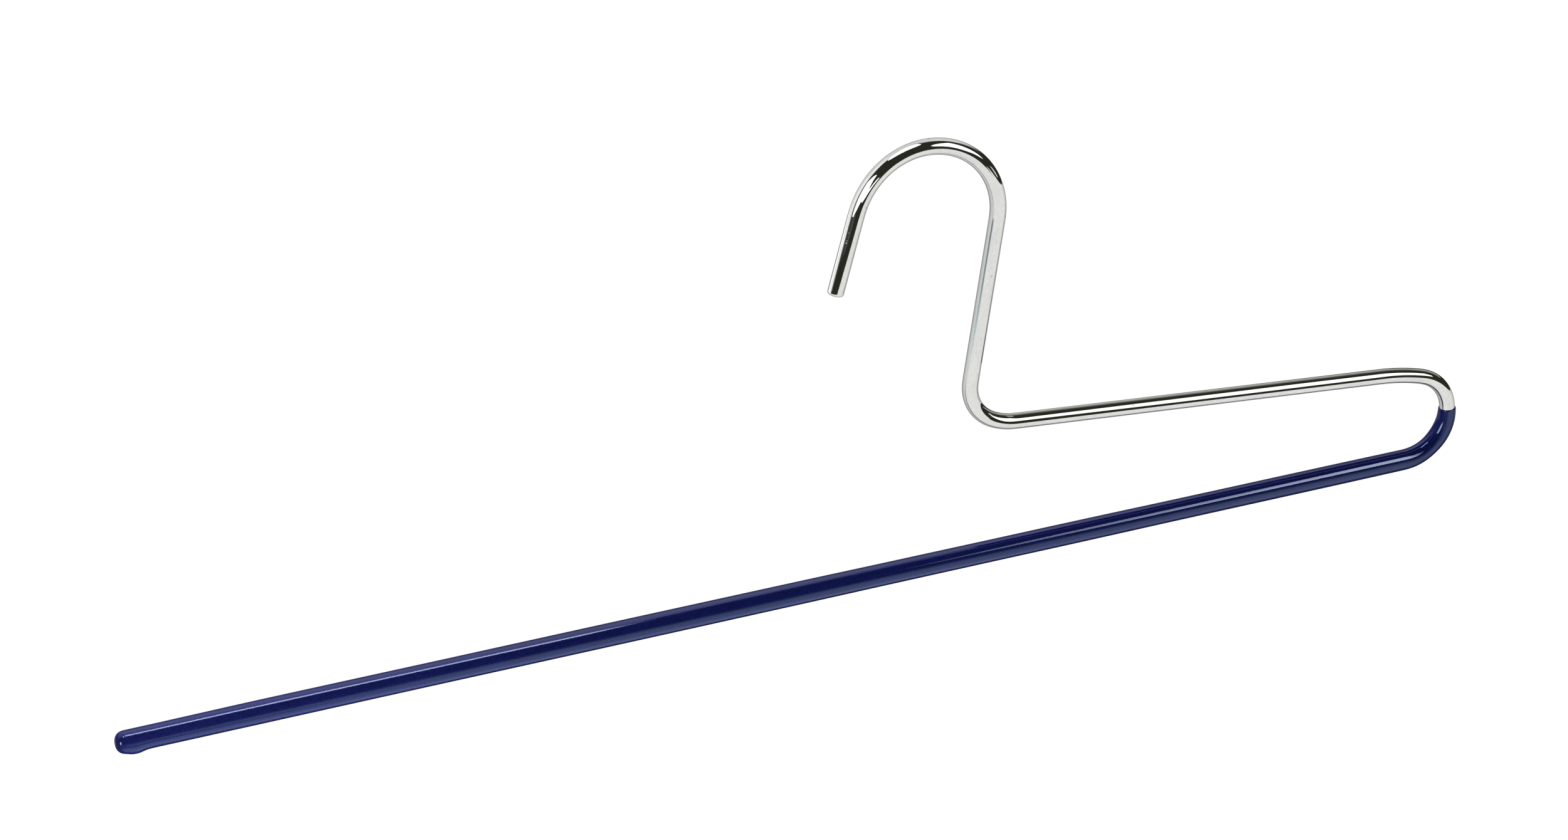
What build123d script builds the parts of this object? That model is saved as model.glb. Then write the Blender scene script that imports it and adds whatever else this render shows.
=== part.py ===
from build123d import *
import os
from math import cos, sin, pi, radians, degrees

# Open-ended trouser hanger bent from one length of round wire, with a dipped
# plastic sleeve over its bar. Millimetres, +Z up, +X along the bar towards the
# closed U-bend, the whole wire in the plane y = 0. Origin: the highest point of
# the inside of the hook, where it sits on a rail.

# ---------------------------------------------------------------- wire
wire_d = 4.0                    # plated wire, all of its length
bar_len = 333.1                 # straight bar, from the root of the nose to the U-bend
u_bend = [(12.1, 163.0), (60.0, 12.0)]      # centreline radius, turn in degrees
arm_len = 103.3                 # straight upper arm, rising 5 degrees towards the hook
foot_bend = [(16.0, 21.5), (10.6, 73.8)]    # from the arm up into the hook's shank
shank_len = 42.0                # straight shank
hook_bend = [(17.8, 138.0), (20.0, 34.7)]   # hook, about 32 mm across inside
tail_len = 20.2                 # straight tail of the hook
tip_round = 0.6                 # rounding of the tail's cut end

# ---------------------------------------------------------------- sleeve
coat_bar_d = [(1.0, 5.62), (130.0, 5.74), (200.0, 5.62)]    # place along the bar, diameter
coat_bend_d = [(0.0, 5.46), (12.0, 5.37), (24.0, 5.24), (36.0, 5.15), (50.0, 5.08),
               (64.0, 4.98), (78.0, 4.82), (88.0, 4.62), (94.5, 4.40)]  # turn of the bend, diameter
nose_len = 2.5                  # closed end, beyond the root of the nose
end_wall = 1.4                  # sleeve beyond the end of the wire
bead_centre = (1.35, -0.72)     # drip bead, from the root of the nose
bead_semi = (3.5, 2.25, 2.66)   # its half lengths in x, y and z

wire_r = wire_d / 2


# ---------------------------------------------------------------- centreline
def follow(x0, z0, steps):
    """Tangent straight runs and arcs in the plane y = 0. Gives the edges, and
    the point and heading at the start of each step and at the end."""
    x, z, h = x0, z0, 0.0
    edges, nodes = [], [(x, z, h)]
    for step in steps:
        if step[0] == "run":
            nx, nz = x + step[1] * cos(h), z + step[1] * sin(h)
            edges.append(Edge.make_line((x, 0, z), (nx, 0, nz)))
        else:
            r, turn = step[1], radians(step[2])
            side = 1 if turn > 0 else -1
            cx, cz = x - side * r * sin(h), z + side * r * cos(h)
            mid, end = h + turn / 2, h + turn
            mx, mz = cx + side * r * sin(mid), cz - side * r * cos(mid)
            nx, nz = cx + side * r * sin(end), cz - side * r * cos(end)
            edges.append(Edge.make_three_point_arc((x, 0, z), (mx, 0, mz), (nx, 0, nz)))
            h = end
        x, z = nx, nz
        nodes.append((x, z, h))
    return edges, nodes


def wire_steps():
    steps = [("run", bar_len + nose_len - end_wall)]
    steps += [("arc", r, a) for r, a in u_bend]
    steps += [("run", arm_len)]
    steps += [("arc", r, -a) for r, a in foot_bend]
    steps += [("run", shank_len)]
    steps += [("arc", r, a) for r, a in hook_bend]
    steps += [("run", tail_len)]
    return steps


# the wire starts inside the nose; x is counted from the root of the nose here
core_x = -(nose_len - end_wall)
_, raw = follow(core_x, 0.0, wire_steps())

# top of the hook: where its first arc is level
hx, hz, hh = raw[7]
crown_x = hx - hook_bend[0][0] * sin(hh)
crown_z = hz + hook_bend[0][0] * cos(hh) + hook_bend[0][0]
off_x, off_z = -crown_x, -(crown_z - wire_r)

edges, nodes = follow(core_x + off_x, off_z, wire_steps())
tip_x, tip_z, tip_h = nodes[-1]


def section(x, z, h, d):
    """Round section across the centreline."""
    plane = Plane(origin=(x, 0, z), x_dir=(0, 1, 0), z_dir=(cos(h), 0, sin(h)))
    return plane * Circle(d / 2)


# ---------------------------------------------------------------- wire frame
centreline = Wire(edges)
wire_frame = sweep(section(*nodes[0], wire_d), path=centreline)
tip_edge = (wire_frame.edges().filter_by(GeomType.CIRCLE)
            .sort_by_distance(Vector(tip_x, 0, tip_z))[0])
wire_frame = fillet(tip_edge, tip_round)

# ---------------------------------------------------------------- sleeve
# straight stretch and closed nose, turned about the bar's axis
nose_x, nose_r = coat_bar_d[0][0], coat_bar_d[0][1] / 2
outline = [(-nose_len, 0), (bar_len, 0), (bar_len, coat_bend_d[0][1] / 2)]
outline += [(x, d / 2) for x, d in reversed(coat_bar_d)]
sides = [Edge.make_line(a, b) for a, b in zip(outline, outline[1:])]
sides += EllipticalCenterArc((nose_x, 0), nose_len + nose_x, nose_r, start_angle=90, arc_size=90).edges()
bar_skin = revolve(Plane.XZ * make_face(Wire(sides)), axis=Axis.X)
bead = Pos(bead_centre[0], 0, bead_centre[1]) * scale(Sphere(1.0), by=bead_semi)
bar_skin = Pos(off_x, 0, off_z) * (bar_skin + bead)

# thinning stretch round the bend, up to the open edge
bend_r = u_bend[0][0]
bx, bz = bar_len + off_x, off_z
rings = []
for turn, d in coat_bend_d:
    t = radians(turn)
    rings.append(section(bx + bend_r * sin(t), bz + bend_r * (1 - cos(t)), t, d))
bend_skin = loft(rings)
bar_coating = bar_skin + bend_skin - wire_frame

# ---------------------------------------------------------------- output
os.makedirs("parts", exist_ok=True)
for name, shape in (("wire_frame", wire_frame), ("bar_coating", bar_coating)):
    solids = shape.solids()
    if len(solids) != 1 or not solids[0].is_valid:
        print("CHECK", name, len(solids), [s.is_valid for s in solids])
    solid = solids[0]
    solid.label = name
    export_step(solid, os.path.join("parts", name + ".step"))
    bb = solid.bounding_box()
    print(name, "volume %.1f mm3" % solid.volume,
          "x %.2f..%.2f y %.2f..%.2f z %.2f..%.2f" % (bb.min.X, bb.max.X, bb.min.Y, bb.max.Y, bb.min.Z, bb.max.Z))

length = centreline.length
print("wire length %.1f, section x length %.1f mm3" % (length, pi * wire_r ** 2 * length))
names = ["core end", "bend start", "bend 1 end", "arm start", "arm end", "foot 1 end", "shank start", "shank end",
         "hook 1 end", "tail start", "tip"]
for name, (x, z, h) in zip(names, nodes):
    print("%-12s x %8.3f z %8.3f heading %7.2f" % (name, x, z, degrees(h)))
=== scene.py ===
import bpy
import numpy as np
from math import atan2, cos, pi, radians, sin, sqrt, tan
from mathutils import Matrix, Vector
from mathutils.geometry import tessellate_polygon


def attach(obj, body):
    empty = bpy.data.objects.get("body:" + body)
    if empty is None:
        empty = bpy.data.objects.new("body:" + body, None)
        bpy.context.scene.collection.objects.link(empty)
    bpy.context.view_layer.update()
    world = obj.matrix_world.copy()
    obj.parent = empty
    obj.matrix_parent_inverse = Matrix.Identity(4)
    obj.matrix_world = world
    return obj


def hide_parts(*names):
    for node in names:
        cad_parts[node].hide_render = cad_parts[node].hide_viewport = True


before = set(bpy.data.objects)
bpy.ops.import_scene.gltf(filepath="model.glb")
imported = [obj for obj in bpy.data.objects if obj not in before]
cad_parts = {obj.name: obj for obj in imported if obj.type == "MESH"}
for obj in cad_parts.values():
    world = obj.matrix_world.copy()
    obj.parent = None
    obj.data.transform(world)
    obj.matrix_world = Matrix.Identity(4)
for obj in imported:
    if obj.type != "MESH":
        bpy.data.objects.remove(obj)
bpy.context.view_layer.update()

MM = 0.001
scene = bpy.context.scene

# ---------------------------------------------------------------- camera
# Fitted to the outline of the whole wire: place, turn and a 60 mm lens.
cam_data = bpy.data.cameras.new("camera")
cam_data.sensor_width = 36.0
cam_data.lens = 60.02
cam_data.clip_start = 0.01
cam_data.clip_end = 50.0
camera = bpy.data.objects.new("camera", cam_data)
scene.collection.objects.link(camera)
right = (0.94180089, -0.33289875, -0.0467922)
up = (0.18891302, 0.40896269, 0.89278295)
back = (-0.27807006, -0.84966343, 0.44805033)
place = (-0.2103081, -0.5266712, 0.2172450)
camera.matrix_world = Matrix((
    (right[0], up[0], back[0], place[0]),
    (right[1], up[1], back[1], place[1]),
    (right[2], up[2], back[2], place[2]),
    (0, 0, 0, 1)))
scene.camera = camera

scene.view_settings.view_transform = "Standard"
scene.view_settings.look = "None"
scene.view_settings.exposure = 0.0
scene.view_settings.gamma = 1.0


# ---------------------------------------------------------------- centreline
# The wire's steps in millimetres: straight runs, and arcs with radius and turn.
# s is counted along the wire from the root of the sleeve's nose.
CORE = -1.1
STEPS = [("run", 334.2, 0.0), ("arc", 12.1, 163.0), ("arc", 60.0, 12.0), ("run", 103.3, 0.0),
         ("arc", 16.0, -21.5), ("arc", 10.6, -73.8), ("run", 42.0, 0.0), ("arc", 17.8, 138.0),
         ("arc", 20.0, 34.7), ("run", 20.2, 0.0)]
START = (-201.070, -108.375)
DS = 0.1


def trace():
    """Points every DS mm along the centreline, eased where runs meet arcs."""
    x, z, h = START[0], START[1], 0.0
    s0, xs, zs, ss = CORE, [], [], []
    for kind, a, turn in STEPS:
        if kind == "run":
            length = a
        else:
            length = a * radians(abs(turn))
            side = 1 if turn > 0 else -1
            cx, cz = x - side * a * sin(h), z + side * a * cos(h)
        k = np.arange(0, int(length / DS) + 1) * DS
        k = k[k < length - 1e-9]
        if kind == "run":
            xs.append(x + k * cos(h)); zs.append(z + k * sin(h))
            x, z = x + length * cos(h), z + length * sin(h)
        else:
            hh = h + side * k / a
            xs.append(cx + side * a * np.sin(hh)); zs.append(cz - side * a * np.cos(hh))
            h = h + side * length / a
            x, z = cx + side * a * sin(h), cz - side * a * cos(h)
        ss.append(s0 + k)
        s0 += length
    xs.append([x]); zs.append([z]); ss.append([s0])
    s, px, pz = np.concatenate(ss), np.concatenate(xs), np.concatenate(zs)
    grid = np.arange(s[0], s[-1], DS)
    grid = np.append(grid, s[-1])
    px, pz = np.interp(grid, s, px), np.interp(grid, s, pz)
    # ease: a short bell average of the points, with both ends carried on straight
    sig, n = 1.0 / DS, int(4.0 / DS)
    w = np.exp(-0.5 * (np.arange(-n, n + 1) / sig) ** 2)
    w /= w.sum()
    lead = np.arange(n, 0, -1)
    ax = np.concatenate([px[0] - lead * (px[1] - px[0]), px, px[-1] + lead[::-1] * (px[-2] - px[-3])])
    az = np.concatenate([pz[0] - lead * (pz[1] - pz[0]), pz, pz[-1] + lead[::-1] * (pz[-2] - pz[-3])])
    ex, ez = np.convolve(ax, w, "valid"), np.convolve(az, w, "valid")
    return grid, ex, ez


S, PX, PZ = trace()
TX, TZ = np.gradient(PX), np.gradient(PZ)
TL = np.hypot(TX, TZ)
TX, TZ = TX / TL, TZ / TL
S_END = float(S[-1])


def at(s):
    """Point, tangent and in-plane normal of the centreline at s, carried on straight past its ends."""
    c = min(max(s, S[0]), S[-1])
    x, z = np.interp(c, S, PX), np.interp(c, S, PZ)
    tx, tz = np.interp(c, S, TX), np.interp(c, S, TZ)
    l = sqrt(tx * tx + tz * tz)
    tx, tz = tx / l, tz / l
    return x + (s - c) * tx, z + (s - c) * tz, tx, tz


def smooth(x, pts):
    """Monotone cubic through the points of a table."""
    xs = np.array([p[0] for p in pts], float)
    ys = np.array([p[1] for p in pts], float)
    h = np.diff(xs)
    d = np.diff(ys) / h
    m = np.zeros(len(xs))
    m[0], m[-1] = d[0], d[-1]
    for i in range(1, len(xs) - 1):
        if d[i - 1] * d[i] > 0:
            w1, w2 = 2 * h[i] + h[i - 1], h[i] + 2 * h[i - 1]
            m[i] = (w1 + w2) / (w1 / d[i - 1] + w2 / d[i])
    x = float(min(max(x, xs[0]), xs[-1]))
    i = int(min(max(np.searchsorted(xs, x) - 1, 0), len(xs) - 2))
    t = (x - xs[i]) / h[i]
    return ((2 * t ** 3 - 3 * t ** 2 + 1) * ys[i] + (t ** 3 - 2 * t ** 2 + t) * h[i] * m[i]
            + (-2 * t ** 3 + 3 * t ** 2) * ys[i + 1] + (t ** 3 - t ** 2) * h[i] * m[i + 1])


def skin(name, rings, around, first_pole=None, last_pole=None):
    """A closed tube from rings of (s, radius of the angle, drop of the centre). The
    angle starts at the normal and turns towards +Y. Each vertex keeps its place on
    the straightened wire, in millimetres, for the materials."""
    ang = np.arange(around) * 2 * pi / around
    ca, sa = np.cos(ang), np.sin(ang)
    co, laid = [], []
    for s, rad, dx, dz in rings:
        x, z, tx, tz = at(s)
        r = np.array([rad(a) for a in ang]) if callable(rad) else np.full(around, float(rad))
        nx, nz = -tz, tx
        co.append(np.stack([x + dx + nx * r * ca, r * sa, z + dz + nz * r * ca], 1))
        laid.append(np.stack([np.full(around, s), r * sa, r * ca], 1))
    poles = []
    for pole in (first_pole, last_pole):
        if pole is not None:
            s, dx, dz = pole
            x, z, tx, tz = at(s)
            poles.append(((x + dx, 0.0, z + dz), (s, 0.0, 0.0)))
        else:
            poles.append(None)
    verts = np.concatenate(co)
    where = np.concatenate(laid)
    faces = []
    n = len(rings)
    for i in range(n - 1):
        a, b = i * around, (i + 1) * around
        for k in range(around):
            l = (k + 1) % around
            faces.append((a + k, b + k, b + l, a + l))
    extra, extra_w = [], []
    if poles[0]:
        p = len(verts) + len(extra)
        extra.append(poles[0][0]); extra_w.append(poles[0][1])
        for k in range(around):
            faces.append((p, k, (k + 1) % around))
    if poles[1]:
        p = len(verts) + len(extra)
        extra.append(poles[1][0]); extra_w.append(poles[1][1])
        a = (n - 1) * around
        for k in range(around):
            faces.append((p, a + (k + 1) % around, a + k))
    if extra:
        verts = np.concatenate([verts, np.array(extra)])
        where = np.concatenate([where, np.array(extra_w)])
    me = bpy.data.meshes.new(name)
    me.from_pydata((verts * MM).tolist(), [], faces)
    me.update()
    layer = me.attributes.new("laid", "FLOAT_VECTOR", "POINT")
    layer.data.foreach_set("vector", where.astype(np.float32).ravel())
    uv = me.uv_layers.new(name="wire_map")
    loops = np.zeros(len(me.loops), np.int32)
    me.loops.foreach_get("vertex_index", loops)
    w = where[loops]
    turn = (np.arctan2(w[:, 1], w[:, 2]) / (2 * pi)) % 1.0
    # a face across the seam keeps its corners together
    starts = np.zeros(len(me.polygons), np.int32)
    totals = np.zeros(len(me.polygons), np.int32)
    me.polygons.foreach_get("loop_start", starts)
    me.polygons.foreach_get("loop_total", totals)
    for st, tot in zip(starts, totals):
        seg = turn[st:st + tot]
        if seg.max() - seg.min() > 0.5:
            seg[seg < 0.5] += 1.0
    uv.data.foreach_set("uv", np.stack([turn * 0.5, (w[:, 0] + 10) / 650.0], 1).astype(np.float32).ravel())
    for p in me.polygons:
        p.use_smooth = True
    me.validate()
    ob = bpy.data.objects.new(name, me)
    scene.collection.objects.link(ob)
    return ob


# ---------------------------------------------------------------- wire frame
WIRE_R = 2.0
rings = []
s_list = [CORE] + list(np.arange(5.0, 330.0, 5.0)) + list(np.arange(330.0, 351.0, 1.0))
s_list += list(np.arange(351.0, S_END - 0.65, 0.5))
for s in s_list:
    rings.append((s, WIRE_R, 0.0, 0.0))
TIP_ROUND = 0.6
for k in range(0, 9):
    a = radians(90 * k / 8)
    rings.append((S_END - TIP_ROUND + TIP_ROUND * sin(a), WIRE_R - TIP_ROUND + TIP_ROUND * cos(a), 0.0, 0.0))
# the sheared face: a shallow dish with a soft step across it
for r, dish in ((1.25, 0.02), (1.05, 0.05), (0.8, 0.07), (0.5, 0.08), (0.22, 0.085)):
    rings.append((S_END - dish, r, 0.0, 0.0))
wire = skin("wire_frame_bent", rings, 72, first_pole=(CORE, 0, 0), last_pole=(S_END - 0.087, 0, 0))

# ---------------------------------------------------------------- sleeve
# outside diameter along the wire, measured square to it
COAT_D = [(0, 5.46), (6, 5.48), (12, 5.53), (18, 5.57), (24, 5.61), (30, 5.645), (48, 5.645), (72, 5.635),
          (88, 5.67), (104, 5.70), (120, 5.71), (136, 5.714), (152, 5.712), (168, 5.695), (184, 5.63),
          (200, 5.61), (216, 5.605), (232, 5.64), (248, 5.61), (264, 5.53), (280, 5.52), (296, 5.54),
          (312, 5.535), (324, 5.49), (331, 5.46), (334.7, 5.39), (337.5, 5.25), (339.5, 5.11), (341.5, 5.06),
          (344, 5.08), (346.5, 5.02), (348.1, 4.92), (349.5, 4.80), (351, 4.70), (352.3, 4.58), (354, 4.42)]
EDGE = 353.06          # the open edge, just past the outermost point of the bend
# the sleeve is a little thicker under the wire at its free end
DROP = [(-3, 0.13), (6, 0.13), (16, 0.10), (24, 0.06), (40, 0.03), (80, 0.02), (333, 0.0), (354, 0.0)]
# drip bead under the nose: how far it stands proud, along the bar
BEAD = [(-1.2, 0.0), (-0.6, 0.02), (0.0, 0.13), (0.5, 0.28), (1.0, 0.42), (1.6, 0.50), (2.1, 0.53), (2.6, 0.50),
        (3.1, 0.43), (3.7, 0.28), (4.3, 0.15), (5.0, 0.06), (6.2, 0.01), (7.5, 0.0)]
BEAD_TURN = radians(180 - 13)     # towards the front of straight down
BEAD_SPREAD = radians(52)
NOSE_ROOT, NOSE_LEN, NOSE_POWER = 0.3, 2.62, 2.35


def bead_on(s, a):
    if s < -1.2 or s > 7.5:
        return 0.0
    # angles run from the normal (up) towards +Y, so the front is on the minus side
    d = (a + BEAD_TURN + pi) % (2 * pi) - pi
    return smooth(s, BEAD) * np.exp(-(d / BEAD_SPREAD) ** 2)


def outer(s):
    r = smooth(s, COAT_D) / 2
    if s > 7.5:
        return r
    return lambda a: r + bead_on(s, a)


rings = []
AROUND = 96
# nose, from its pole to its root
for k in range(1, 15):
    t = radians(90 * k / 15)
    e = 2 / NOSE_POWER
    x = NOSE_ROOT - NOSE_LEN * cos(t) ** e
    f = sin(t) ** e
    r0 = smooth(0, COAT_D) / 2
    rings.append((x, (lambda a, x=x, f=f: f * r0 + bead_on(x, a) * min(1.0, f)), 0.0, -smooth(x, DROP)))
for s in np.arange(NOSE_ROOT, 8.0, 0.25):
    rings.append((s, outer(s), 0.0, -smooth(s, DROP)))
for s in list(np.arange(8.0, 330.0, 1.0)) + list(np.arange(330.0, EDGE - 0.35, 0.3)):
    rings.append((s, outer(s), 0.0, -smooth(s, DROP)))
# the open edge: a thin rounded lip on the wire
lip_r = smooth(EDGE, COAT_D) / 2
lip = lip_r - WIRE_R
for k in range(0, 7):
    a = radians(90 * k / 6)
    rings.append((EDGE - lip * 1.1 + lip * 1.1 * sin(a), WIRE_R - 0.01 + (lip + 0.01) * cos(a), 0.0, 0.0))
# the bore that holds the wire
for s in list(np.arange(EDGE - 1.0, 330.0, -1.0)) + list(np.arange(330.0, 5.0, -5.0)) + [CORE]:
    rings.append((s, WIRE_R - 0.01, 0.0, 0.0))
coat = skin("bar_coating_dipped", rings, AROUND,
            first_pole=(NOSE_ROOT - NOSE_LEN, 0.0, -smooth(-2.3, DROP)), last_pole=(CORE, 0, 0))


# ---------------------------------------------------------------- node helpers
def node(tree, kind, **sets):
    n = tree.nodes.new(kind)
    for k, v in sets.items():
        setattr(n, k, v)
    return n


def link(tree, a, b):
    tree.links.new(a, b)


def math(tree, op, a, b=None, c=None, clamp=False):
    n = node(tree, "ShaderNodeMath", operation=op, use_clamp=clamp)
    for i, v in enumerate((a, b, c)):
        if v is None:
            continue
        if isinstance(v, (int, float)):
            n.inputs[i].default_value = v
        else:
            link(tree, v, n.inputs[i])
    return n.outputs[0]


def noise(tree, vec, scale, detail=2.0, rough=0.5):
    n = node(tree, "ShaderNodeTexNoise")
    n.inputs["Scale"].default_value = scale
    n.inputs["Detail"].default_value = detail
    n.inputs["Roughness"].default_value = rough
    link(tree, vec, n.inputs["Vector"])
    return n.outputs["Fac"]


def stretched(tree, vec, scale):
    n = node(tree, "ShaderNodeMapping")
    n.inputs["Scale"].default_value = scale
    link(tree, vec, n.inputs["Vector"])
    return n.outputs["Vector"]


def ramp(tree, fac, stops):
    n = node(tree, "ShaderNodeValToRGB")
    el = n.color_ramp.elements
    while len(el) > 2:
        el.remove(el[-1])
    while len(el) < len(stops):
        el.new(0.5)
    for e, (p, c) in zip(el, stops):
        e.position = p
        e.color = (*c, 1.0) if len(c) == 3 else c
    link(tree, fac, n.inputs["Fac"])
    return n.outputs["Color"]


def spans(tree, fac, a, b, lo, hi):
    n = node(tree, "ShaderNodeMapRange")
    n.inputs["From Min"].default_value = a
    n.inputs["From Max"].default_value = b
    n.inputs["To Min"].default_value = lo
    n.inputs["To Max"].default_value = hi
    link(tree, fac, n.inputs["Value"])
    return n.outputs["Result"]


def material(name):
    m = bpy.data.materials.new(name)
    m.use_nodes = True
    m.node_tree.nodes.clear()
    t = m.node_tree
    out = node(t, "ShaderNodeOutputMaterial")
    bsdf = node(t, "ShaderNodeBsdfPrincipled")
    link(t, bsdf.outputs[0], out.inputs["Surface"])
    laid = node(t, "ShaderNodeAttribute", attribute_type="GEOMETRY", attribute_name="laid")
    return m, t, bsdf, laid.outputs["Vector"]


# ---------------------------------------------------------------- chrome
chrome, t, bsdf, laid = material("chrome_wire")
bsdf.inputs["Metallic"].default_value = 1.0
bsdf.inputs["Specular Tint"].default_value = (0.42, 0.42, 0.42, 1)
haze = noise(t, stretched(t, laid, (0.12, 0.5, 0.5)), 1.0, 3.0, 0.55)
fine = noise(t, stretched(t, laid, (0.6, 3.0, 3.0)), 1.0, 2.0, 0.5)
drawn = noise(t, stretched(t, laid, (0.10, 7.0, 7.0)), 1.0, 3.0, 0.6)
# sparse pits in the plating
cells = node(t, "ShaderNodeTexVoronoi", feature="F1")
cells.inputs["Scale"].default_value = 1.0
cells.inputs["Randomness"].default_value = 1.0
link(t, stretched(t, laid, (0.16, 0.42, 0.42)), cells.inputs["Vector"])
pits = spans(t, cells.outputs["Distance"], 0.035, 0.075, 1.0, 0.0)
# single marks in the plating: place along the wire, place across it as seen from the
# front (-1 to 1, minus on the right of the way along the wire), radius, depth
marks = math(t, "MULTIPLY", pits, 0.0)
for s_at, across, size, depth in ((531.4, -0.48, 0.22, 0.90), (531.1, -0.42, 0.15, 0.60), (514.7, -0.52, 0.20, 0.30),
                                  (515.2, -0.42, 0.20, 0.35), (515.8, -0.46, 0.20, 0.25), (499.0, 0.04, 0.22, 0.20),
                                  (604.3, -0.30, 0.16, 0.40), (606.8, -0.28, 0.20, 1.0), (606.3, 0.56, 0.20, 0.40),
                                  (607.1, 0.52, 0.17, 0.35), (614.9, 0.50, 0.16, 0.40), (616.5, 0.50, 0.20, 0.55),
                                  (617.2, 0.42, 0.15, 0.30)):
    x, z, tx, tz = at(s_at)
    way = Vector((tx, 0.0, tz))
    face = Vector(place) / MM - Vector((x, 0.0, z))
    face = (face - way * face.dot(way)).normalized()
    spot = (way.cross(face) * -across + face * sqrt(1 - across * across)) * WIRE_R
    far = node(t, "ShaderNodeVectorMath", operation="DISTANCE")
    link(t, laid, far.inputs[0])
    far.inputs[1].default_value = (s_at, spot.y, spot.dot(Vector((-tz, 0.0, tx))))
    marks = math(t, "MAXIMUM", marks, spans(t, far.outputs["Value"], 0.2 * size, size, depth, 0.0))
tone = ramp(t, haze, [(0.30, (0.645, 0.655, 0.650)), (0.50, (0.684, 0.687, 0.675)), (0.72, (0.715, 0.717, 0.705))])
# fine mottle of the plating
mottle = noise(t, stretched(t, laid, (1.3, 2.4, 2.4)), 1.0, 2.0, 0.6)
mul = node(t, "ShaderNodeMix", data_type="RGBA", blend_type="MULTIPLY")
mul.inputs["Factor"].default_value = 1.0
link(t, tone, mul.inputs["A"])
link(t, ramp(t, mottle, [(0.30, (0.935, 0.94, 0.945)), (0.68, (1.045, 1.045, 1.04))]), mul.inputs["B"])
mix = node(t, "ShaderNodeMix", data_type="RGBA")
link(t, math(t, "MULTIPLY", math(t, "MAXIMUM", pits, marks), 0.6), mix.inputs["Factor"])
link(t, mul.outputs["Result"], mix.inputs["A"])
mix.inputs["B"].default_value = (0.28, 0.28, 0.27, 1)
link(t, mix.outputs["Result"], bsdf.inputs["Base Color"])
rough = math(t, "ADD", spans(t, haze, 0.3, 0.7, 0.018, 0.045), math(t, "MULTIPLY", pits, 0.25))
rough = math(t, "ADD", rough, math(t, "MULTIPLY", marks, 0.45))
link(t, rough, bsdf.inputs["Roughness"])
height = math(t, "ADD", math(t, "MULTIPLY", drawn, 0.00015), math(t, "MULTIPLY", haze, 0.006))
height = math(t, "ADD", height, math(t, "MULTIPLY", fine, 0.0005))
height = math(t, "SUBTRACT", height, math(t, "MULTIPLY", pits, 0.012))
height = math(t, "SUBTRACT", height, math(t, "MULTIPLY", marks, 0.004))
bump = node(t, "ShaderNodeBump")
bump.inputs["Strength"].default_value = 1.0
bump.inputs["Distance"].default_value = 0.001
link(t, height, bump.inputs["Height"])
link(t, bump.outputs["Normal"], bsdf.inputs["Normal"])
wire.data.materials.append(chrome)

# ---------------------------------------------------------------- sleeve plastic
pvc, t, bsdf, laid = material("navy_pvc")
bsdf.inputs["IOR"].default_value = 1.58
bsdf.inputs["Specular IOR Level"].default_value = 0.5
bsdf.inputs["Specular Tint"].default_value = (0.58, 0.74, 1.0, 1)
cloud = noise(t, stretched(t, laid, (0.10, 0.35, 0.35)), 1.0, 3.0, 0.5)
peel = noise(t, stretched(t, laid, (0.55, 0.8, 0.8)), 1.0, 2.0, 0.5)
grain = noise(t, laid, 2.2, 2.0, 0.6)
tone = ramp(t, cloud, [(0.30, (0.0125, 0.0205, 0.225)), (0.72, (0.0160, 0.0260, 0.275))])
speck = ramp(t, grain, [(0.35, (0.72, 0.72, 0.76)), (0.65, (1.30, 1.30, 1.24))])
mul = node(t, "ShaderNodeMix", data_type="RGBA", blend_type="MULTIPLY")
mul.inputs["Factor"].default_value = 1.0
link(t, tone, mul.inputs["A"])
link(t, speck, mul.inputs["B"])
# the base colour is lighter towards the nose end and a little darker just before the bend
where = node(t, "ShaderNodeSeparateXYZ")
link(t, laid, where.inputs["Vector"])
tone_along_bar = ramp(t, spans(t, where.outputs["X"], 0.0, 360.0, 0.0, 1.0),
             [(0.0, (2.45, 2.05, 1.75)), (0.14, (2.05, 1.78, 1.60)), (0.30, (1.28, 1.22, 1.18)),
              (0.55, (1.10, 1.08, 1.06)), (0.93, (0.76, 0.76, 0.78)), (0.965, (0.95, 1.0, 1.0))])
toned_base = node(t, "ShaderNodeMix", data_type="RGBA", blend_type="MULTIPLY")
toned_base.inputs["Factor"].default_value = 1.0
link(t, mul.outputs["Result"], toned_base.inputs["A"])
link(t, tone_along_bar, toned_base.inputs["B"])
# painted shade: the base colour is darkened towards the outline, where the sleeve is seen at a glancing angle
glance = node(t, "ShaderNodeLayerWeight")
glance.inputs["Blend"].default_value = 0.5
rim = node(t, "ShaderNodeMix", data_type="RGBA")
link(t, spans(t, glance.outputs["Facing"], 0.52, 0.92, 0.0, 0.85), rim.inputs["Factor"])
link(t, toned_base.outputs["Result"], rim.inputs["A"])
# near-black colour of the painted shade along the outline
rim.inputs["B"].default_value = (0.004, 0.005, 0.012, 1)
link(t, rim.outputs["Result"], bsdf.inputs["Base Color"])
link(t, spans(t, cloud, 0.3, 0.7, 0.05, 0.085), bsdf.inputs["Roughness"])
height = math(t, "ADD", math(t, "MULTIPLY", peel, 0.0014), math(t, "MULTIPLY", grain, 0.00025))
bump = node(t, "ShaderNodeBump")
bump.inputs["Strength"].default_value = 1.0
bump.inputs["Distance"].default_value = 0.001
link(t, height, bump.inputs["Height"])
link(t, bump.outputs["Normal"], bsdf.inputs["Normal"])
coat.data.materials.append(pvc)


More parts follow.
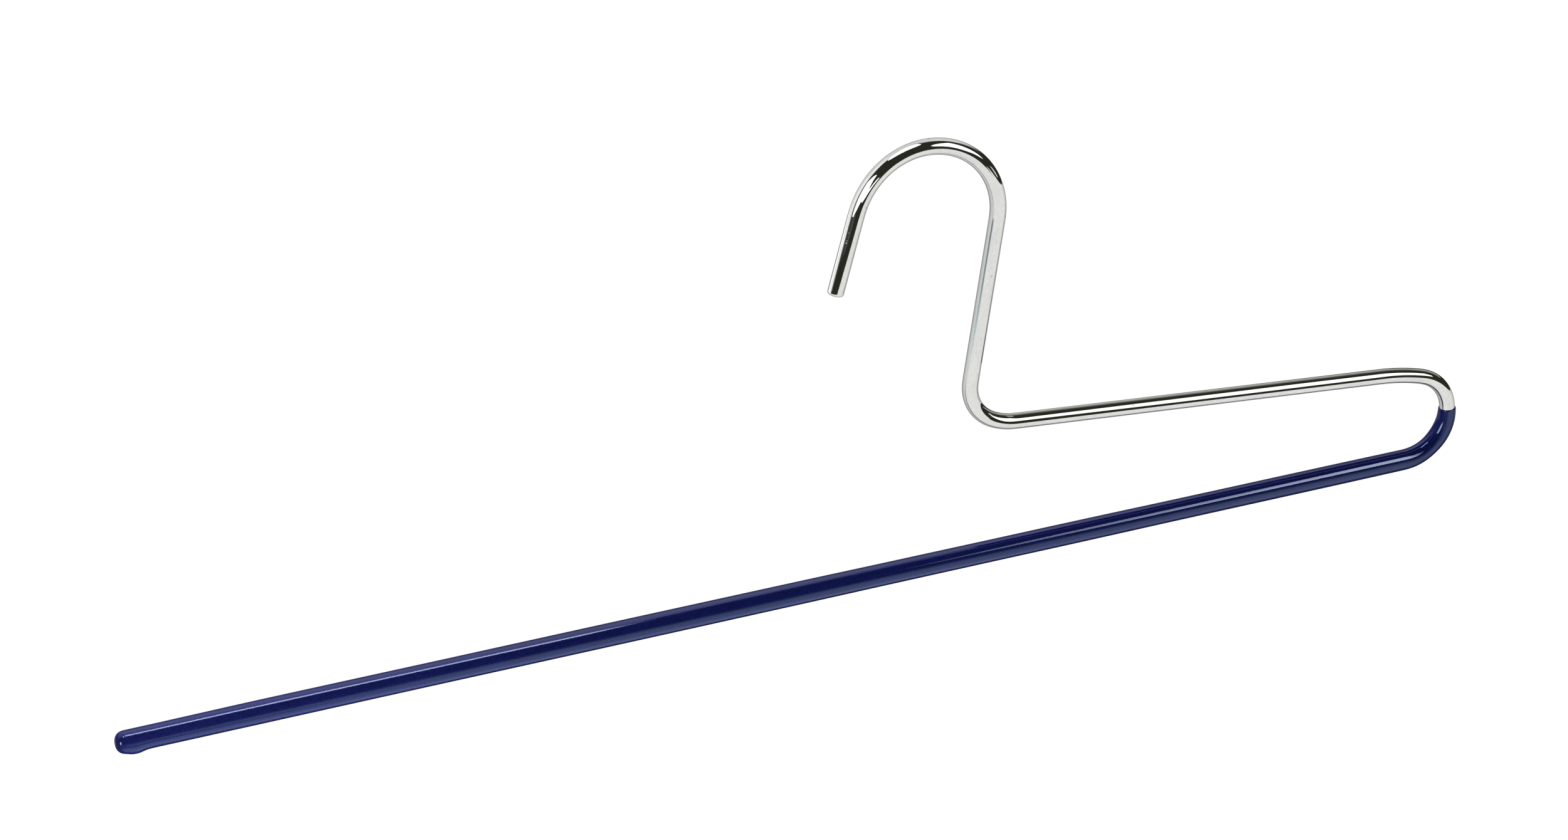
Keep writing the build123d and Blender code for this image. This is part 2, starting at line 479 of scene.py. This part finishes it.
# ---------------------------------------------------------------- studio
# The boxes and the backdrop are cards that show in reflections only. They let light
# through, so that none hides another.
def glow(name, colour, strength, solid=False):
    m = bpy.data.materials.new(name)
    m.use_nodes = True
    t = m.node_tree
    t.nodes.clear()
    out = node(t, "ShaderNodeOutputMaterial")
    em = node(t, "ShaderNodeEmission")
    em.inputs["Color"].default_value = (*colour, 1)
    em.inputs["Strength"].default_value = strength
    if solid:
        link(t, em.outputs[0], out.inputs["Surface"])
    else:
        add = node(t, "ShaderNodeAddShader")
        clear = node(t, "ShaderNodeBsdfTransparent")
        link(t, em.outputs[0], add.inputs[0])
        link(t, clear.outputs[0], add.inputs[1])
        link(t, add.outputs[0], out.inputs["Surface"])
    return m


def toward(az, el):
    """Direction at azimuth az (0 is the front, -Y; plus is +X) and elevation el."""
    a, e = radians(az), radians(el)
    return Vector((sin(a) * cos(e), -cos(a) * cos(e), sin(e)))


HOOK = Vector((0.0, 0.0, -0.01))
BEND = Vector((0.137, 0.0, -0.105))

# the plated wire and the sleeve each have boxes of their own
only_wire = bpy.data.collections.new("only_wire")
only_wire.objects.link(wire)
only_coat = bpy.data.collections.new("only_coat")
only_coat.objects.link(coat)


def unseen(ob, receivers=None, soft=True):
    ob.visible_camera = False
    ob.visible_shadow = False
    ob.visible_diffuse = soft
    if receivers is not None:
        ob.light_linking.receiver_collection = receivers
    return ob


def card(name, corners, far, colour, strength, eye=HOOK, receivers=None, soft=True, solid=False):
    """A card whose corners lie in these directions from eye, far metres away."""
    pts = [eye + toward(a, e) * far for a, e in corners]
    flat = [Vector((a, e, 0.0)) for a, e in corners] if max(e for _, e in corners) < 60 else pts
    me = bpy.data.meshes.new(name)
    me.from_pydata([tuple(p) for p in pts], [], tessellate_polygon([flat]))
    me.update()
    ob = bpy.data.objects.new(name, me)
    scene.collection.objects.link(ob)
    me.materials.append(glow(name + "_light", colour, strength, solid))
    return unseen(ob, receivers, soft)


def shaded(name, verts, faces, cols, colour, receivers=None, solid=False):
    """A card with a radiance for each vertex."""
    me = bpy.data.meshes.new(name)
    me.from_pydata(verts, [], faces)
    me.update()
    lay = me.attributes.new("shade", "FLOAT", "POINT")
    lay.data.foreach_set("value", np.array(cols, np.float32))
    m = glow(name + "_light", colour, 1.0, solid)
    t = m.node_tree
    a = node(t, "ShaderNodeAttribute", attribute_type="GEOMETRY", attribute_name="shade")
    em = [n for n in t.nodes if n.type == "EMISSION"][0]
    link(t, a.outputs["Fac"], em.inputs["Strength"])
    me.materials.append(m)
    ob = bpy.data.objects.new(name, me)
    scene.collection.objects.link(ob)
    return unseen(ob, receivers)


def ease(a, b, x):
    k = min(max((x - a) / (b - a), 0.0), 1.0)
    return k * k * (3 - 2 * k)


WHITE = (1.0, 1.0, 0.995)


def fan(name, pts, cols, colour, receivers, soft=True, solid=False):
    """A flat card through these points, with a radiance at each corner."""
    pts = [Vector(p) for p in pts]
    ob = shaded(name, [tuple(p) for p in pts], tessellate_polygon([pts]), cols, colour, receivers, solid)
    ob.visible_diffuse = soft
    return ob


def wall(y, xz):
    """Points in millimetres on an upright plane, in metres."""
    return [(x * MM, y * MM, z * MM) for x, z in xz]


# left softbox, front
card("soft_left", [(-75, 2.5), (-75, 34.8), (-66, 36), (-56, 36.8), (-47, 35.4), (-38, 32), (-31, 28), (-28.4, 25),
                   (-26.4, 19.3), (-20.9, 11.3), (-17, 6.1), (-13, 2), (-9, -0.5), (-4, 0.5), (0, -1.5), (7, -9),
                   (-2, -9), (-12, -6), (-22, -1.5), (-29, 3), (-44, 1), (-60, 0.5)],
     0.62, WHITE, 1.75, receivers=only_wire)
# its faint lower lip
card("soft_left_lip", [(-68, 2), (-60, 1), (-46, -1), (-36, -4), (-38, -6), (-50, -4), (-66, -1)], 0.62, WHITE, 0.06,
     receivers=only_wire)
# right softbox, front, on an upright plane, and the strip of light under its outer corner
fan("soft_right", wall(-490, [(216, 130), (212, 204), (230, 302), (283, 401), (371, 500), (503, 630), (700, 800),
                              (860, 930), (915, 748), (1051, 555), (1276, 382), (1005, 167), (490, 80), (400, 44),
                              (340, 30), (310, 44), (285, 66), (262, 84), (235, 106)]), [1.75] * 19, WHITE, only_wire)
card("soft_right_low", [(66, 3.5), (77, 3.8), (80, 0), (78, -4), (70, -5), (64, -3)], 0.25, WHITE, 0.8,
     receivers=only_wire)
# overhead softbox
card("soft_top", [(-88, 67), (-75, 63.5), (-60, 61), (-45, 59.5), (-30, 59), (-10, 59), (10, 60), (20, 62), (30, 66),
                  (45, 72), (60, 77), (75, 79.5), (90, 80), (105, 80), (130, 79), (160, 77), (-170, 76),
                  (-140, 75), (-120, 73), (-105, 70)],
     0.62, WHITE, 1.75, receivers=only_wire)
# thin grey-blue strip low at the left, between the floor's rim and the box
STRIP_AZ = [(-97, 1.0), (-92, 0.55), (-88, 0.25), (-84, 0.0), (-79, 0.0), (-75, 0.25), (-70, 0.7), (-64, 1.0)]
STRIP_EL = [(-7.0, 0.0), (-8.0, 0.05), (-9.0, 0.25), (-10.0, 0.6), (-11.2, 1.0)]
SHANK = Vector((0.015, 0.0, -0.045))
shaded("strip_left", [tuple(SHANK + toward(a, e) * 2.0) for e, _ in STRIP_EL for a, _ in STRIP_AZ],
       [(j * 8 + i, j * 8 + i + 1, j * 8 + i + 9, j * 8 + i + 8) for j in range(4) for i in range(7)],
       [0.20 + 0.75 * max(p, q) for _, q in STRIP_EL for _, p in STRIP_AZ], (0.86, 1.0, 1.05), only_wire, solid=True)
# a narrow dark flag just over the arm, which keeps the backdrop out of its upper flank
# and grows lighter towards the back: rows of (y, z above the arm, radiance) in millimetres
FLAG = [(-1.6, 10.0, 0.03), (0.7, 10.0, 0.03), (3.2, 10.0, 0.20), (5.5, 10.0, 0.40), (8.6, 10.0, 0.58),
        (14.0, 10.0, 0.74), (19.8, 10.0, 0.86)]
(xa, za), (xb, zb) = at(480)[:2], at(380)[:2]
FLAG_X = [26.0, 190.0]
verts = [(x * MM, y * MM, (za + (zb - za) * (x - xa) / (xb - xa) + h) * MM) for y, h, _ in FLAG for x in FLAG_X]
flag = shaded("flag_over_arm", verts, [(2 * i, 2 * i + 1, 2 * i + 3, 2 * i + 2) for i in range(len(FLAG) - 1)],
              [r for _, _, r in FLAG for _ in FLAG_X], (1.0, 1.0, 0.90), only_wire, solid=True)
flag.visible_diffuse = False

# where the backdrop's right edge stands, by elevation, as the hook sees it
EDGE_AT = [(-10, 152), (-3, 150), (4, 141), (9, 131), (13, 123), (21, 113), (25, 110), (30, 105), (43, 96), (64, 91),
           (90, 91)]


def behind(a, e):
    # bright at the left, greyer straight behind and high up, dark past the right edge
    a = a % 360
    v = 0.92
    v += 0.30 * (1 - ease(8, 40, abs(a - 258)))
    v -= 0.30 * ease(58, 76, e)
    edge = float(np.interp(e, [p[0] for p in EDGE_AT], [p[1] for p in EDGE_AT]))
    v *= ease(edge - 9, edge + 9, a)
    v *= 1 - 0.9 * ease(262, 274, a)
    return max(v, 0.0)


def behind_coat(a, e):
    # the sleeve sees a dimmer backdrop that fades towards its foot and its right edge
    a = a % 360
    v = 1.20 * ease(90, 146, a) * ease(6, 54, e)
    v *= 1 - 0.35 * ease(200, 225, a) * ease(20, 60, e)
    v *= 1 - 0.9 * ease(255, 272, a)
    return max(v, 0.09)


def patch(name, az0, az1, el0, el1, far, shade, eye=HOOK, receivers=None, solid=False, colour=(1.0, 1.0, 1.0)):
    na, ne = 64, 32
    verts, faces, cols = [], [], []
    for j in range(ne + 1):
        for i in range(na + 1):
            a, e = az0 + (az1 - az0) * i / na, el0 + (el1 - el0) * j / ne
            verts.append(tuple(eye + toward(a, e) * far))
            cols.append(shade(a, e))
    for j in range(ne):
        for i in range(na):
            k = j * (na + 1) + i
            faces.append((k, k + 1, k + na + 2, k + na + 1))
    return shaded(name, verts, faces, cols, colour, receivers, solid)


patch("backdrop", 78, 282, -8, 77, 0.62, behind, receivers=only_wire)
patch("backdrop_coat", 85, 285, -12, 84, 0.9, behind_coat, eye=Vector((0.0, 0.0, -0.105)), receivers=only_coat,
      colour=(1.02, 0.95, 1.06))

# hot cores of the boxes, as the gloss of the sleeve shows them
fan("core_top", [(x, y, 0.618) for x, y in ((-0.215, -0.085), (-0.10, -0.105), (0.051, -0.130), (0.075, -0.04),
                                            (0.051, 0.032), (-0.10, 0.055), (-0.215, 0.070))],
    [11.0] * 7, (1.0, 0.90, 0.98), only_coat, soft=False)
fan("core_top_left", [(x, y, 0.745) for x, y in ((-0.405, -0.15), (-0.365, -0.215), (-0.290, -0.19), (-0.225, -0.157),
                                                 (-0.277, -0.12), (-0.277, 0.06), (-0.365, 0.04), (-0.405, -0.02))],
    [6.4, 8.8, 9.6, 9.6, 9.6, 9.0, 8.0, 6.0], (1.0, 0.90, 0.98), only_coat, soft=False)
fan("core_right", wall(-510, [(194, 253), (213, 290), (260, 348), (302, 405), (349, 436), (437, 498), (511, 550),
                              (633, 634), (729, 681), (729, 118), (468, 138), (312, 154), (234, 202)]),
    [0.9, 2.2, 6.8, 9.4, 10.4, 10.8, 11.1, 11.3, 11.3, 11.3, 11.1, 8.2, 3.2], (1.0, 0.90, 0.90), only_coat, soft=False)
card("core_left", [(-46, 14), (-47, 18), (-52, 22), (-59, 24), (-64, 23.5), (-66.5, 18), (-66, 9), (-62, 1),
                   (-57, 0), (-52, 3), (-48, 8)],
     2.0, (1.0, 0.92, 0.96), 8.6, eye=BEND, receivers=only_coat, soft=False)

# floor: plain, pale and evenly lit. What it gives in reflections comes from sheets
# that the camera doesn't see: brightest in front, greyer behind, with a front edge.
FLOOR_Z = -0.140
me = bpy.data.meshes.new("floor")
me.from_pydata([(-6, -6, FLOOR_Z), (6, -6, FLOOR_Z), (6, 6, FLOOR_Z), (-6, 6, FLOOR_Z)], [], [(0, 1, 2, 3)])
me.update()
floor = bpy.data.objects.new("floor", me)
scene.collection.objects.link(floor)
me.materials.append(glow("floor_pale", (1.0, 1.0, 0.995), 1.03, solid=True))
floor.visible_diffuse = floor.visible_glossy = floor.visible_shadow = floor.visible_transmission = False


def disc(name, eye, drop, rim, shade, receivers, steps=16, colour=(1.0, 1.0, 0.99)):
    """A level sheet drop metres under eye. Its rim lies rim(az) degrees under the horizon."""
    azs = np.arange(-180, 181, 3)
    verts, cols, faces = [], [], []
    for a in azs:
        low = rim(a)
        for k in range(steps + 1):
            e = 90 + (low - 90) * (k / steps)
            r = drop / tan(radians(e)) if e < 89.9 else 0.0
            verts.append((eye[0] + r * sin(radians(a)), eye[1] - r * cos(radians(a)), eye[2] - drop))
            cols.append(shade(a, e))
    for i in range(len(azs) - 1):
        for k in range(steps):
            q = i * (steps + 1) + k
            faces.append((q, q + 1, q + steps + 2, q + steps + 1))
    return shaded(name, verts, faces, cols, colour, receivers)


# how low under the horizon the lit floor starts, by azimuth
RIM = [(-180, 2), (-110, 3), (-95, 4), (-75, 5), (-60, 8.5), (-45, 10.3), (-30, 12.3), (-15, 14.8), (0, 17.8),
       (10, 20.2), (16, 21.2), (21, 21.4), (24, 20.6), (26, 20), (28, 19), (30, 17), (33, 13.5), (36, 11.5),
       (44, 11), (60, 10), (75, 9.5), (100, 9.8), (112, 10.8), (130, 11), (140, 10.5), (150, 8), (160, 4), (180, 2)]


def under_wire(a, e):
    v = 1.03 - 0.20 * ease(60, 110, abs(a)) - 0.22 * ease(110, 160, abs(a))
    return 1.0 + (v - 1.0) * (1 - ease(45, 75, e))


disc("floor_wire", HOOK, 3.0, lambda a: float(np.interp(a, [p[0] for p in RIM], [p[1] for p in RIM])), under_wire,
     only_wire)


# the shade that the bar throws on the floor, just behind it
SHADE_Y = [(0.001, 0.55), (0.018, 0.60), (0.030, 0.95)]
shade = shaded("shade_behind_bar", [(x, y, -0.128) for y, _ in SHADE_Y for x in (-0.21, 0.20)],
               [(0, 1, 3, 2), (2, 3, 5, 4)], [v for _, v in SHADE_Y for _ in (0, 1)], (1.0, 1.0, 0.99), only_wire,
               solid=True)
shade.visible_diffuse = False


def under_coat(a, e):
    # full in front, less at the left and straight down, and hardly any behind
    v = ease(-11, 19, e) * (1 + 0.25 * ease(48, 64, e)) * (1 - 0.45 * ease(68, 86, e))
    v *= 1 - 0.95 * ease(58, 84, abs(a)) * ease(15, 35, e)
    v *= 1 - 0.60 * ease(48, 70, abs(a)) * (1 - ease(31, 41, e))
    return v * (1 - 0.75 * (1 - ease(-16, -1, a)) * (1 - ease(24, 38, e)) * (1 - ease(100, 130, abs(a))))


BAR = Vector((0.0, 0.0, -0.105))
disc("floor_coat", BAR, 0.30, lambda a: 4.0, under_coat, only_coat, colour=(1.05, 1.08, 0.90))
# where the floor runs up into the room, in front
patch("lip_coat", -65, 65, -4, 12, 4.0, lambda a, e: ease(-12, 18, -e), eye=BAR, receivers=only_coat)

world = bpy.data.worlds.new("studio")
scene.world = world
world.use_nodes = True
t = world.node_tree
t.nodes.clear()
out = node(t, "ShaderNodeOutputWorld")
seen = node(t, "ShaderNodeBackground")
seen.inputs["Color"].default_value = (1, 1, 1, 1)
seen.inputs["Strength"].default_value = 1.05
room = node(t, "ShaderNodeBackground")
room.inputs["Color"].default_value = (0.030, 0.031, 0.021, 1)
room.inputs["Strength"].default_value = 1.0
way = node(t, "ShaderNodeLightPath")
both = node(t, "ShaderNodeMixShader")
link(t, way.outputs["Is Camera Ray"], both.inputs["Fac"])
link(t, room.outputs[0], both.inputs[1])
link(t, seen.outputs[0], both.inputs[2])
link(t, both.outputs[0], out.inputs["Surface"])

# ---------------------------------------------------------------- riding
for piece, cad, slot_name in ((wire, "wire_frame", "chrome_wire"), (coat, "bar_coating", "navy_pvc")):
    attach(piece, "root")
    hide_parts(cad)
